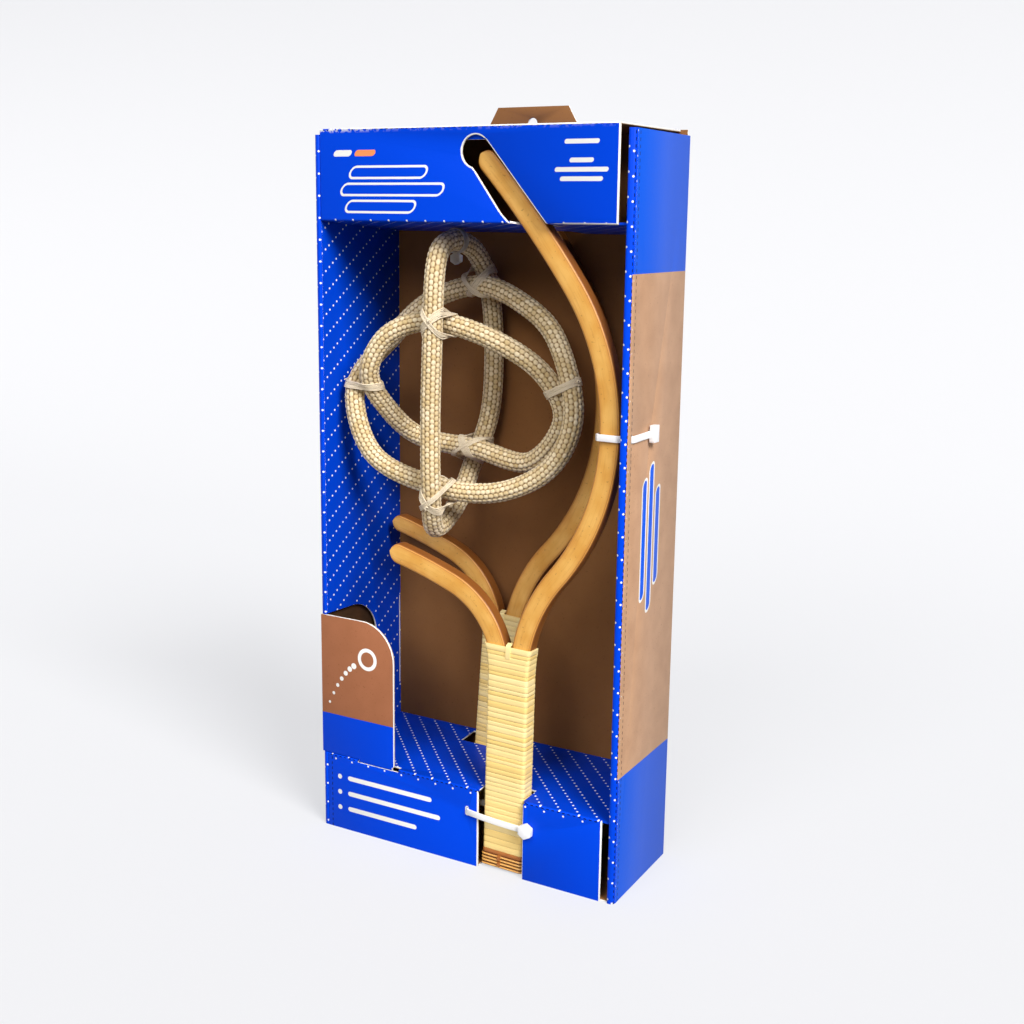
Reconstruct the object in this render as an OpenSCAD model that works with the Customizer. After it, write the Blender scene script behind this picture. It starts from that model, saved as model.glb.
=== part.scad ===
// Sling and catch set: two bent-cane throwers and a ball of three rope rings,
// tied into an open-fronted display carton of folded corrugated board.
// Millimetres. +Z up, -Y the open front, origin at the middle of the carton's footprint.

/* [Carton] */
// Outer width of the carton
carton_w = 262; // [260:0.5:268]
// Outer depth of the carton
carton_d = 96; // [95.5:0.5:100]
// Height of the side walls
carton_h = 540; // [539:0.5:541]
// Thickness of the corrugated board
board = 1.6; // [1.4:0.1:1.7]
// Thickness of a rolled-over side wall
wall_t = 5.5; // [5.2:0.1:5.5]
// How far each side wall leans in from front to back
wall_lean = 4.5; // [3.5:0.5:5]
// Height of the base tray
base_h = 61.8; // [61:0.2:64]
// How far the base's deck rises towards the back
deck_rise = 6.5; // [5:0.5:7]
// Height of the header's front
header_h = 65.5; // [64:0.5:66]
// How far the lid stands above the side walls
lid_rise = 4; // [3.5:0.5:5]
// How far the header's floor falls towards the back
floor_fall = 7; // [5:0.5:7]
// Height of the hang tab above the lid
tab_h = 19; // [17:1:24]
// Diameter of the hang hole
hang_hole_d = 8; // [6:0.5:9]

/* [Info flap] */
// Reach of the flap across the front
flap_reach = 69; // [66:1:74]
// Top of the flap above the floor
flap_top = 176; // [165:1:180]
// Radius of the flap's round corner
flap_corner = 30; // [15:1:30]

/* [Throwers] */
// Width of a cane, across its bends
cane_w = 15.6; // [14.6:0.1:15.6]
// Thickness of a cane
cane_t = 11; // [10:0.5:11]
// Rounding of a cane's edges
cane_round = 1.5; // [1:0.25:2]
// Turns of the rattan wrap on each grip
wrap_turns = 20; // [12:1:24]
// Length of the wrapped grip
grip_l = 175; // [170:1:176]
// Turns of the dark binding at the butt
binding_turns = 4; // [2:1:5]
// Height of the dark binding
binding_h = 13.5; // [12:0.5:16]

/* [Ball] */
// Diameter of the rope
rope_d = 15; // [13:0.5:15]
// Diameter of the lashing cord
lash_d = 2.2; // [1.6:0.1:2.2]

/* [Ties] */
// Width of a nylon tie
tie_w = 4.8; // [3.6:0.1:4.8]
// Thickness of a nylon tie
tie_t = 1.2; // [1:0.1:1.2]

/* [Hidden] */
$fn = 64;

// Colours
print_blue = "#1450DC";
kraft = "#A9764F";
nylon = "#F2F2EE";
cane_honey = "#DDA64C";
rattan = "#EBD28F";
dark_rattan = "#8A4B1E";
rope_tan = "#D2BE92";
lash_cream = "#E2D3AC";

// Carton planes
half_w = carton_w / 2;
half_d = carton_d / 2;
inner_x = half_w - wall_t;
front_in = -half_d + board;
back_in = half_d - board;
lid_top = carton_h + lid_rise;
header_bottom = lid_top - header_h;
panel_right = inner_x - 5.7;

// Rolled front edge of a side wall: its radius, and where the outer board starts behind it
roll_r = wall_t - board - 0.1;
outer_front = -half_d + roll_r;

// Grip notch, rear grip hole as [x, y, width, depth], and the slots and heights of the ties
notch_left = 16;
notch_right = 55;
notch_back = -28;
notch_corner = 4;
rear_hole = [-44, 22, 48, 20];
tie_slot_left = 6.5;
tie_slot_right = 59;
slot_play = 0.5;
tie_z = 43.2;
tie_tilt = 3.2;
side_tie_z = 337;
side_slits = [-40, -9];

// Info flap
flap_gap = 0.6;
flap_bottom = base_h + flap_gap;
flap_t = 2.4;
flap_slot = [-96, 39, 3];
flap_lip = 2.2;
flap_foot_inset = 1.5;

// Hang tab: half widths from its foot up, and height of its hole above the lid
tab_foot = 41;
tab_waist = 37;
tab_top = 30;
hang_rise = 7;

// Lid
lid_gap = 0.7;
lid_side_gap = 0.3;
tuck_depth = 8;
tuck_inset = 14;

// Thrower places: foot of the grip, and lean to the right
front_foot = [35, -37.2, 1.4];
front_lean = 1;
rear_foot = [-20.5, 31.9, 3.2];
rear_lean = 3.8;
cane_side = 7.9;

// Bends of a cane from the butt up: [length, 0] is straight, [radius, turn] curves, right positive
long_bends = [[151.8, 0], [127, 39], [168, -75], [700, -8.8]];
short_bends = [[152.8, 0], [66, -69.5], [400, -7.3]];
rear_short_bends = [[152.8, 0], [66, -72], [400, -7.3]];

// Where two pieces of a cane meet: difference in width, and overlap
joint_step = 0.1;
joint_lap = 0.5;

// Round upper end of the arm window, play around the arm in the header's floor, and the rear arm's slot
window_end = [9.5, 526.7];
window_round = 11;
slot_clear = 3;
arm_slot_depth = 34;
arm_slot_shift = -5.8;
rear_slot = [7, 22, 40];

// Grip wrap: strip thickness, room over the canes, gap between turns, edge bevel
strip_t = 1.3;
strip_room = 1.2;
strip_gap = 0.7;
strip_bevel = 0.45;
// Butt binding: thickness of its rods, and room over the canes
rod_t = 2.2;
rod_room = 1.7;
loop_steps = 12;

// Rope rings: points that each ring's middle line passes through, chosen by hand
ball_at = [-28, 0, 355];
upright_route = [
  [-34, -4, 465.4], [-34.5, -23, 460.5], [-33, -34, 441], [-33, -37, 395], [-34, -38, 336], [-34, -37, 283],
  [-43, -18, 251], [-41, 9, 265], [-38.5, 28, 295], [-27, 34.5, 336], [-24, 34, 390], [-28, 32, 433],
  [-32, 18.5, 457.5]
];
inner_route = [
  [-43, -21, 407], [6, -14, 395], [38, 2, 371], [48.5, 13.5, 337], [20, 15.5, 303], [-28, 14.5, 309],
  [-77, 10, 315], [-92.6, -14, 341], [-93.6, -32, 368], [-77, -30, 396]
];
middle_route = [
  [-45, -20, 284], [8, -14, 283], [48, -4, 304], [64, 1, 345], [42, 12, 397], [9, 14.5, 422.5],
  [-27, 15.5, 432.5], [-67, 11, 419.5], [-94.5, 1, 392.5], [-111, -26, 354], [-93, -29, 305]
];
route_steps = 4;
rope_sides = 10;
lash_turns = 2;
lash_gap = 0.6;
lash_room_high = 1.2;
lash_room_wide = 2.6;
lash_room_bend = 1.6;
lash_corner = 4;
tube_sides = 6;

function unit(v) = v / norm(v);

// A smooth closed line through the points of a route
function between(a, b, c, d, t) =
  0.5 * (2 * b + (c - a) * t + (2 * a - 5 * b + 4 * c - d) * t * t + (3 * b - a - 3 * c + d) * t * t * t);
function closed_line(route, steps) = let (n = len(route)) [
  for (i = [0 : n - 1], k = [0 : steps - 1])
    between(route[(i + n - 1) % n], route[i], route[(i + 1) % n], route[(i + 2) % n], k / steps)
];
function tangent(line, i) = let (n = len(line)) unit(line[(i + 1) % n] - line[(i + n - 1) % n]);

// Round sections along a closed line, turned to a fixed reference direction
function rope_sections(line, reference) = [
  for (i = [0 : len(line) - 1])
    let (t = tangent(line, i), a = unit(cross(t, reference)), b = cross(a, t))
      [for (k = [0 : rope_sides - 1]) let (turn = 360 * k / rope_sides)
        line[i] + rope_d / 2 * (cos(turn) * a + sin(turn) * b)]
];

// One loop of a winding is a rounded rectangle, three points to a corner
function corner_turn(i) = floor((i % loop_steps) / 3) * 90 + (i % 3) * 45;
function corner_side(i, axis) = let (c = floor((i % loop_steps) / 3))
  axis == 0 ? (c == 0 || c == 3 ? 1 : -1) : (c < 2 ? 1 : -1);
function loop_point(i, half, corner) = [
  corner_side(i, 0) * (half[0] - corner) + corner * cos(corner_turn(i)),
  corner_side(i, 1) * (half[1] - corner) + corner * sin(corner_turn(i))
];
function loop_step(i, half, corner) = norm(loop_point(i + 1, half, corner) - loop_point(i, half, corner));
function loop_lengths(steps, half, corner) = [
  for (i = 0, s = 0; i <= steps; s = s + loop_step(i, half, corner), i = i + 1) s
];

// Sections of a winding: outline is the tube's own section, as [outward, along the axis] points
function winding_sections(turns, half, corner, pitch, outline) =
  let (steps = turns * loop_steps, s = loop_lengths(steps, half, corner), round_length = s[loop_steps]) [
    for (i = [0 : steps])
      let (p = loop_point(i, half, corner), out = [cos(corner_turn(i)), sin(corner_turn(i))])
        [for (q = outline) [p[0] + q[0] * out[0], p[1] + q[0] * out[1], pitch * s[i] / round_length + q[1]]]
  ];
// Least distance from the points of each turn to those of the next turn
function winding_gap(sections) = min([
  for (i = [0 : len(sections) - 1 - loop_steps], p = sections[i], k = [-1 : 1])
    if (i + loop_steps + k < len(sections)) for (q = sections[i + loop_steps + k]) norm(p - q)
]);

// How far a side wall's inner and outer boards have leaned in at a depth
function inner_lean(y) = wall_lean * (y - front_in) / (half_d - front_in);
function outer_lean(y) = wall_lean * (y - outer_front) / (half_d - outer_front);

// Closest place of two rings on one side of the ball, as [distance, place in first, place in second]
function crossing(p, q, axis, side) =
  let (near = [for (i = [0 : len(p) - 1]) if (side * (p[i][axis] - ball_at[axis]) > 0)
        for (j = [0 : len(q) - 1]) [norm(p[i] - q[j]), i, j]],
       least = min([for (e = near) e[0]]))
    [for (e = near) if (e[0] == least) e][0];

// Outline of a flat strap that follows a path
function beside(path, i, reach) =
  let (d = unit(path[min(i + 1, len(path) - 1)] - path[max(i - 1, 0)])) path[i] + reach * [-d[1], d[0]];
function band(path) = concat(
  [for (i = [0 : len(path) - 1]) beside(path, i, tie_t / 2)],
  [for (i = [len(path) - 1 : -1 : 0]) beside(path, i, -tie_t / 2)]
);

upright_line = closed_line(upright_route, route_steps);
inner_line = closed_line(inner_route, route_steps);
middle_line = closed_line(middle_route, route_steps);

// Grip wrap and butt binding
function grip_half(room) = [cane_side + cane_w / 2 + room, cane_t / 2 + room];
wrap_pitch = (grip_l - binding_h) / (wrap_turns + 1);
binding_pitch = binding_h / (binding_turns + 1);
wrap_start = binding_h + wrap_pitch / 2;
function strip_outline(pitch, thickness) =
  let (w = (pitch - strip_gap) / 2, t = thickness / 2, e = strip_bevel)
    [[0, -w], [t, e - w], [t, w - e], [0, w], [-t, w - e], [-t, e - w]];
// How far a cane has bowed away from the grip at a height
function bow(z, bends) = let (rise = max(0, z - bends[0][0]), r = bends[1][0]) r - sqrt(r * r - rise * rise);
function spread(v) = let (z = v[2] + wrap_start, out = v[0] > 0 ? bow(z, long_bends) : -bow(z, short_bends))
  v + [out, 0, 0];
function grip_winding(turns, room, pitch, thickness) =
  winding_sections(turns, grip_half(room), cane_round + room, pitch, strip_outline(pitch, thickness));
wrap_sections = [
  for (s = grip_winding(wrap_turns, strip_room, wrap_pitch, strip_t)) [for (v = s) spread(v)]
];
binding_sections = grip_winding(binding_turns, rod_room, binding_pitch, rod_t);

// Lashing cord section and pitch
lash_pitch = lash_d + lash_gap;
lash_outline = [
  for (k = [0 : tube_sides - 1]) let (turn = 360 * k / tube_sides) lash_d / 2 * [cos(turn), sin(turn)]
];
// Sections of the lashing at one crossing, in the crossing's own frame
function lash_frame(p, q, c) =
  let (a = tangent(p, c[1]), b0 = tangent(q, c[2]), b = a * b0 < 0 ? -b0 : b0,
       across = unit(q[c[2]] - p[c[1]]), mean = a + b, along = unit(mean - across * (mean * across)))
    [(p[c[1]] + q[c[2]]) / 2, across, cross(along, across), along, acos(a * b) / 2];
function lash_half(c, f, extra) = [
  c[0] / 2 + rope_d / 2 + lash_room_high + extra + lash_d / 2,
  rope_d / 2 / cos(f[4]) + lash_pitch * tan(f[4]) + lash_room_wide + lash_d / 2
];
function lash_sections(p, q, c, extra = 0) =
  let (f = lash_frame(p, q, c), half = lash_half(c, f, extra),
       flat = winding_sections(lash_turns, half, lash_corner, lash_pitch, lash_outline))
    [for (s = flat) [for (v = s)
      f[0] + v[0] * f[1] + v[1] * f[2] + (v[2] - lash_pitch * lash_turns / 2) * f[3]]];

front_upper = lash_sections(upright_line, inner_line, crossing(upright_line, inner_line, 1, -1));
front_lower = lash_sections(upright_line, middle_line, crossing(upright_line, middle_line, 1, -1));
back_upper = lash_sections(upright_line, middle_line, crossing(upright_line, middle_line, 1, 1), lash_room_bend);
back_lower = lash_sections(upright_line, inner_line, crossing(upright_line, inner_line, 1, 1));
left_side = lash_sections(inner_line, middle_line, crossing(inner_line, middle_line, 0, -1));
right_side = lash_sections(inner_line, middle_line, crossing(inner_line, middle_line, 0, 1));

echo(wrap_gap = winding_gap(wrap_sections), binding_gap = winding_gap(binding_sections));
all_lashings = [front_upper, front_lower, back_upper, back_lower, left_side, right_side];
echo(lash_gaps = [for (s = all_lashings) winding_gap(s)]);

// A box between two corners
module slab(low, high) {
  translate(low) cube(high - low);
}

// A flat shape drawn in X and Z, standing with its front face at y
module upright_sheet(y, thickness) {
  translate([0, y + thickness, 0]) rotate([90, 0, 0]) linear_extrude(thickness) children();
}

// A solid swept through a list of sections
module swept(sections, closed) {
  n = len(sections[0]);
  m = len(sections);
  sides = [
    for (i = [0 : closed ? m - 1 : m - 2], j = [0 : n - 1])
      let (a = i * n + j, b = i * n + (j + 1) % n, c = (i + 1) % m * n + (j + 1) % n, d = (i + 1) % m * n + j)
        each [[a, b, c], [a, c, d]]
  ];
  first = [for (j = [1 : n - 2]) [0, j + 1, j]];
  last = [for (j = [1 : n - 2]) (m - 1) * n * [1, 1, 1] + [0, j, j + 1]];
  polyhedron([for (s = sections) each s], closed ? sides : concat(sides, first, last), convexity = 8);
}

module strap(path, z) {
  translate([0, 0, z - tie_w / 2]) linear_extrude(tie_w) polygon(band(path));
}

// Half the width between the outer boards at a depth
function back_half(y) = half_w - board - outer_lean(y);

module back_panel() {
  color(kraft) difference() {
    union() {
      linear_extrude(lid_top) polygon([
        [-back_half(back_in), back_in], [back_half(back_in), back_in],
        [back_half(half_d), half_d], [-back_half(half_d), half_d]
      ]);
      upright_sheet(back_in, board) polygon([
        [-tab_foot, lid_top], [tab_foot, lid_top], [tab_waist, lid_top + hang_rise], [tab_top, lid_top + tab_h],
        [-tab_top, lid_top + tab_h], [-tab_waist, lid_top + hang_rise]
      ]);
    }
    translate([0, half_d + board, lid_top + hang_rise]) rotate([90, 0, 0])
      cylinder(d = hang_hole_d, h = 3 * board);
  }
}

module bottom_panel() {
  color(kraft) linear_extrude(board) polygon([
    [-inner_x, front_in], [notch_left, front_in], [notch_left, notch_back], [notch_right, notch_back],
    [notch_right, front_in], [inner_x, front_in],
    [inner_x - inner_lean(back_in), back_in], [inner_lean(back_in) - inner_x, back_in]
  ]);
}

// A board of the right side wall: x is its inside face at the front
module wall_board(x, front, back, lean) {
  linear_extrude(carton_h) polygon([[x, front], [x + board, front], [x + board - lean, back], [x - lean, back]]);
}

module outer_wall() {
  wall_board(half_w - board, outer_front, half_d, wall_lean);
}

module inner_wall() {
  wall_board(inner_x, front_in, back_in, inner_lean(back_in));
}

// The strip that rolls over the front edge of both boards
module edge_strip() {
  linear_extrude(carton_h) difference() {
    union() {
      translate([inner_x, -half_d]) square([wall_t - roll_r, roll_r]);
      translate([half_w - roll_r, outer_front]) circle(roll_r);
    }
    translate([half_w - roll_r, outer_front]) circle(roll_r - board);
    translate([inner_x - 1, front_in]) square([1 + wall_t - roll_r, 2 * roll_r]);
    translate([inner_x - 2 * roll_r, -half_d - 1]) square([2 * roll_r, 4 * roll_r]);
    translate([inner_x - 1, outer_front]) square([wall_t + 2, 2 * roll_r]);
  }
}

// What a panel between the side walls loses to their lean
module side_wedges(low, high) {
  for (side = [0, 1]) mirror([side, 0, 0]) translate([0, 0, low]) linear_extrude(high - low) polygon([
    [inner_x, front_in], [inner_x + 1, front_in],
    [inner_x + 1, back_in + 1], [inner_x - inner_lean(back_in + 1), back_in + 1]
  ]);
}

module left_outer_wall() {
  color(print_blue) mirror([1, 0, 0]) outer_wall();
}

// The info flap's outline with its hinge edge at x = 0
module flap_outline(reach, low, high) {
  difference() {
    translate([0, low]) square([reach, high - low]);
    translate([reach - flap_corner, high - flap_corner]) square(flap_corner + 1);
  }
  translate([reach - flap_corner, high - flap_corner]) circle(flap_corner);
}

module left_inner_wall() {
  color(print_blue) difference() {
    mirror([1, 0, 0]) inner_wall();
    translate([-inner_x - board - 1, -half_d - 1, 0]) rotate([90, 0, 90]) linear_extrude(board + 2 + wall_lean)
      flap_outline(flap_reach - wall_t, base_h, flap_top + flap_gap);
  }
}

module left_edge_strip() {
  color(print_blue) difference() {
    mirror([1, 0, 0]) edge_strip();
    slab([-half_w - 1, -half_d - 1, base_h], [-inner_x + 1, front_in + 1, flap_top + flap_gap]);
  }
}

// Slits for the side tie through the right wall
module side_tie_slits() {
  for (y = side_slits)
    slab([inner_x - 1 - wall_lean, y - tie_t / 2 - slot_play, side_tie_z - tie_w / 2 - slot_play],
         [half_w + 1, y + tie_t / 2 + slot_play, side_tie_z + tie_w / 2 + slot_play]);
}

module right_outer_wall() {
  color(print_blue) difference() {
    outer_wall();
    side_tie_slits();
  }
}

module right_inner_wall() {
  color(print_blue) difference() {
    inner_wall();
    side_tie_slits();
  }
}

module right_edge_strip() {
  color(print_blue) edge_strip();
}

// The front tie slopes down to the right
module tie_slope() {
  translate([tie_slot_left, 0, tie_z]) rotate([0, tie_tilt, 0]) translate([-tie_slot_left, 0, -tie_z]) children();
}

// A slot for the front tie in the base's front
module base_tie_slot(x) {
  tie_slope() slab([x - tie_t / 2 - slot_play, -half_d - 1, tie_z - tie_w / 2 - slot_play],
       [x + tie_t / 2 + slot_play, front_in + 1, tie_z + tie_w / 2 + slot_play]);
}

// Half of the base's front, with the notch's corner rounded at x = 0 and the panel to its left
module notched_front(width) {
  upright_sheet(-half_d, board) {
    translate([-width, 0]) square([width, base_h - notch_corner]);
    translate([-width, 0]) square([width - notch_corner, base_h]);
    translate([-notch_corner, base_h - notch_corner]) circle(notch_corner);
  }
}

module base_front_left() {
  color(print_blue) difference() {
    translate([notch_left, 0, 0]) notched_front(notch_left + inner_x);
    base_tie_slot(tie_slot_left);
    slab([flap_slot[0], -half_d - 1, base_h - flap_lip], [flap_slot[0] + flap_slot[1], front_in + 1, base_h + 1]);
  }
}

module base_front_right() {
  color(print_blue) difference() {
    translate([notch_right, 0, 0]) mirror([1, 0, 0]) notched_front(panel_right - notch_right);
    base_tie_slot(tie_slot_right);
  }
}

// A panel between the side walls: height of its underside at the front, and its rise to the back
module sloped_panel(low, rise) {
  translate([-inner_x, 0, 0]) rotate([90, 0, 90]) linear_extrude(2 * inner_x) polygon([
    [front_in, low], [back_in, low + rise], [back_in, low + rise + board], [front_in, low + board]
  ]);
}

module base_deck() {
  deck_top = base_h + deck_rise + 1;
  color(print_blue) difference() {
    sloped_panel(base_h - board, deck_rise);
    side_wedges(base_h - 2 * board, deck_top);
    slab([notch_left, front_in - 1, 0], [notch_right, notch_back, deck_top]);
    translate([rear_hole[0], rear_hole[1], 0]) cube([rear_hole[2], rear_hole[3], deck_top]);
    translate([flap_slot[0], front_in - 1, 0]) cube([flap_slot[1], flap_slot[2] + 1, deck_top]);
  }
}

// Window for the front thrower's long arm in the header's front
module arm_window() {
  translate(window_end) circle(window_round);
  polygon([
    window_end + [-window_round, -2], [9.4, 513], [30, 485.5], [38, header_bottom - 1],
    [67, header_bottom - 1], [17.6, 535], window_end + [0, window_round]
  ]);
}

// Room for the same arm in the header's floor
module arm_slot() {
  translate([0, arm_slot_shift, 0]) thrower_place(front_foot, front_lean) translate([cane_side, 0, 0])
    bent_cane(long_bends, cane_w + 2 * slot_clear, arm_slot_depth);
}

module header_front() {
  color(print_blue) difference() {
    slab([-inner_x, -half_d, header_bottom], [panel_right, front_in, lid_top]);
    upright_sheet(-half_d - 1, board + 2) arm_window();
  }
}

module header_floor() {
  color(print_blue) difference() {
    sloped_panel(header_bottom, -floor_fall);
    side_wedges(header_bottom - 2 * floor_fall, header_bottom + 2 * board);
    arm_slot();
    translate([rear_slot[0], rear_slot[1], header_bottom - 2 * floor_fall])
      cube([rear_slot[2], half_d, 3 * floor_fall]);
  }
}

module lid_panel() {
  front = front_in + lid_gap;
  back = back_in - lid_side_gap;
  left = -inner_x + lid_side_gap;
  color(print_blue) translate([0, 0, lid_top - board]) linear_extrude(board) polygon([
    [left, front], [panel_right, front], [panel_right, back], [left + inner_lean(back), back]
  ]);
}

module lid_tuck_flap() {
  color(print_blue)
    slab([-inner_x + tuck_inset, front_in + lid_gap, lid_top - board - tuck_depth],
         [panel_right - tuck_inset, front_in + lid_gap + board, lid_top - board]);
}

module info_flap() {
  hinge = -half_w + flap_gap / 2;
  color(kraft) translate([hinge, 0, 0]) upright_sheet(-half_d, flap_t) {
    flap_outline(flap_reach, flap_bottom, flap_top);
    translate([flap_slot[0] + flap_foot_inset - hinge, flap_bottom - flap_lip])
      square([flap_reach + hinge - flap_slot[0] - 2 * flap_foot_inset, flap_corner]);
  }
}

// Six-sided head of a nylon tie, along Y
module tie_head(at, across, depth) {
  translate(at) rotate([90, 30, 0]) cylinder(d = across, h = depth, $fn = 6);
}

module front_tie() {
  head_x = tie_slot_right;
  face = -half_d - 0.4;
  color(nylon) tie_slope() {
    strap([
      [tie_slot_left, front_in + 0.6], [tie_slot_left, face], [tie_slot_left + 1.4, face - 1.1],
      [20, face - 2.2], [33, face - 2.6], [46, face - 2.3], [head_x - 2, face - 1.2]
    ], tie_z);
    tie_head([head_x, face, tie_z], 12, 4.6);
    strap([[head_x, face - 0.5], [head_x, front_in + 0.6]], tie_z);
  }
}

module front_tie_back() {
  start = front_in + 1.6;
  back = notch_back - 0.6;
  color(nylon) tie_slope() strap([
    [tie_slot_left, start], [tie_slot_left, back - 1.6], [tie_slot_left + 1.6, back],
    [tie_slot_right - 1.6, back], [tie_slot_right, back - 1.6], [tie_slot_right, start]
  ], tie_z);
}

module side_tie_loop() {
  end_x = inner_x - 1;
  color(nylon) strap([
    [end_x, -41.6], [122.4, -44], [120, -44.6], [107, -44.6], [105.4, -43],
    [105.4, -31.5], [107, -30], [118, -29.4], [end_x - inner_lean(-13), -13]
  ], side_tie_z);
}

module side_tie_outer() {
  in_x = inner_x + 0.8;
  near_x = half_w + 1 - outer_lean(side_slits[0]);
  far_x = half_w + 1 - outer_lean(side_slits[1]);
  color(nylon) {
    strap([
      [in_x, side_slits[0]], [near_x - 0.6, side_slits[0]], [near_x, side_slits[0] + 1],
      [far_x, side_slits[1] - 1], [far_x - 0.6, side_slits[1]], [in_x - inner_lean(side_slits[1]), side_slits[1]]
    ], side_tie_z);
    slab([far_x + tie_t / 2 - 0.2, side_slits[1] - 3, side_tie_z - 5.5],
         [far_x + 4.6, side_slits[1] + 4, side_tie_z + 6.5]);
  }
}

module ball_tie() {
  room = 0.6;
  top = upright_route[0];
  inside = rope_d / 2 + room;
  color(nylon) {
    translate(top + [0, tie_w / 2, 0]) rotate([90, 0, 0]) difference() {
      cylinder(r = inside + tie_t, h = tie_w);
      translate([0, 0, -1]) cylinder(r = inside, h = tie_w + 2);
    }
    tie_head(top + [0, tie_w / 2, -inside - tie_t - 3.6], 9, tie_w);
  }
}

// Half of a cane's section, and the whole of it: width along X, thickness along Y
module half_section(width, depth) {
  translate([0, -depth / 2]) square([width / 2 - cane_round, depth]);
  translate([0, -depth / 2 + cane_round]) square([width / 2, depth - 2 * cane_round]);
  for (side = [-1, 1]) translate([width / 2 - cane_round, side * (depth / 2 - cane_round)]) circle(cane_round);
}

module cane_section(width, depth) {
  half_section(width, depth);
  mirror([1, 0, 0]) half_section(width, depth);
}

// A cane bent piece by piece, every second piece a hair smaller and let into its neighbours, with a round tip
module bent_cane(bends, width, depth, step = 0) {
  if (step == len(bends)) {
    rotate([90, 0, 0]) rotate_extrude() half_section(width - 2 * joint_step, depth - 2 * joint_step);
  } else {
    size = bends[step][0];
    turn = bends[step][1];
    side = sign(turn);
    inset = step % 2 * joint_step;
    lap = step % 2 * joint_lap;
    if (turn == 0) {
      translate([0, 0, -lap]) linear_extrude(size + 2 * lap) cane_section(width - inset, depth - inset);
      translate([0, 0, size]) bent_cane(bends, width, depth, step + 1);
    } else {
      lap_turn = lap / size * 180 / PI;
      translate([side * size, 0, 0]) rotate([90, 0, side > 0 ? 180 : 0]) rotate([0, 0, -lap_turn])
        rotate_extrude(angle = abs(turn) + 2 * lap_turn) translate([size, 0])
          cane_section(width - inset, depth - inset);
      translate([side * size * (1 - cos(turn)), 0, size * sin(abs(turn))]) rotate([0, turn, 0])
        bent_cane(bends, width, depth, step + 1);
    }
  }
}

module thrower_place(foot, lean) {
  translate(foot) rotate([0, lean, 0]) children();
}

module long_arm() {
  color(cane_honey) translate([cane_side, 0, 0]) bent_cane(long_bends, cane_w, cane_t);
}

module short_arm(bends) {
  color(cane_honey) translate([-cane_side, 0, 0]) bent_cane(bends, cane_w, cane_t);
}

module grip_wrap() {
  color(rattan) translate([0, 0, wrap_start]) swept(wrap_sections, false);
}

module butt_binding() {
  color(dark_rattan) translate([0, 0, binding_pitch / 2]) swept(binding_sections, false);
}

module rope_ring(line, reference) {
  color(rope_tan) swept(rope_sections(line, reference), true);
}

module lashing(sections) {
  color(lash_cream) swept(sections, false);
}

back_panel();
bottom_panel();
left_outer_wall();
left_inner_wall();
left_edge_strip();
right_outer_wall();
right_inner_wall();
right_edge_strip();
base_front_left();
base_front_right();
base_deck();
header_front();
header_floor();
lid_panel();
lid_tuck_flap();
info_flap();
front_tie();
front_tie_back();
side_tie_loop();
side_tie_outer();
ball_tie();
thrower_place(front_foot, front_lean) long_arm();  // front_long_arm
thrower_place(front_foot, front_lean) short_arm(short_bends);  // front_short_arm
thrower_place(front_foot, front_lean) grip_wrap();  // front_grip_wrap
thrower_place(front_foot, front_lean) butt_binding();  // front_butt_binding
thrower_place(rear_foot, rear_lean) long_arm();  // rear_long_arm
thrower_place(rear_foot, rear_lean) short_arm(rear_short_bends);  // rear_short_arm
thrower_place(rear_foot, rear_lean) grip_wrap();  // rear_grip_wrap
thrower_place(rear_foot, rear_lean) butt_binding();  // rear_butt_binding
rope_ring(upright_line, [1, 0, 0]);  // upright_ring
rope_ring(inner_line, [0, 1, 0]);  // inner_ring
rope_ring(middle_line, [0, 1, 0]);  // middle_ring
lashing(front_upper);  // lashing_front_upper
lashing(front_lower);  // lashing_front_lower
lashing(back_upper);  // lashing_back_upper
lashing(back_lower);  // lashing_back_lower
lashing(left_side);  // lashing_left
lashing(right_side);  // lashing_right
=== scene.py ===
import math
import random

import bpy
from mathutils import Euler, Matrix, Vector


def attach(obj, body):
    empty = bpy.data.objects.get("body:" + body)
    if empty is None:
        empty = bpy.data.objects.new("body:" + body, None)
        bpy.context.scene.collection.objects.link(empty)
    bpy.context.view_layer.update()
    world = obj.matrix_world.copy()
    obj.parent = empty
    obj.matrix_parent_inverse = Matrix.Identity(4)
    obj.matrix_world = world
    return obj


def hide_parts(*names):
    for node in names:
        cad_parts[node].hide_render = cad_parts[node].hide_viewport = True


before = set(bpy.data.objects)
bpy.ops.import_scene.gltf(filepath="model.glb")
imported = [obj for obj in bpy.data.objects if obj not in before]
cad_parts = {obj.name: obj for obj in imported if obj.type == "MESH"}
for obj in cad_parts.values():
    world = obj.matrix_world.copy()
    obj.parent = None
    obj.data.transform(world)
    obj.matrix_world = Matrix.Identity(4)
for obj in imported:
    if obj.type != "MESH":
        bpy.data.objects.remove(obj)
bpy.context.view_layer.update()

# Camera: a 49 mm lens at the photograph's standpoint, to the right of the open front and just below the
# carton's top, looking a little down. It has no shift and no depth of field.
scene = bpy.context.scene
camera_data = bpy.data.cameras.new("camera")
camera_data.sensor_width = 36
camera_data.lens = 48.99
camera = bpy.data.objects.new("camera", camera_data)
scene.collection.objects.link(camera)
scene.camera = camera
camera_yaw = math.radians(30.605)
camera_pitch = math.radians(-11.862)
camera_roll = math.radians(0.751)
camera_aim = Euler((math.pi / 2 + camera_pitch, 0, camera_yaw)).to_matrix()
camera.location = (0.53463, -0.87997, 0.48130)
camera.rotation_euler = (camera_aim @ Matrix.Rotation(camera_roll, 3, "Z")).to_euler()


# Studio: a pale sheet underfoot, a wide soft lamp high on the right in front, weaker ones from straight ahead
# and from behind, and a faint even sky. Sheet and sky look pale but throw little light under the header.
SKY_LIGHT = 0.16
SKY_GLOW = 1.0
PAPER_GLOW = 0.61
PAPER_SIZE = 10.0
PAPER_HEIGHT = 4.0
PAPER_BEND = 1.2


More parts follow.
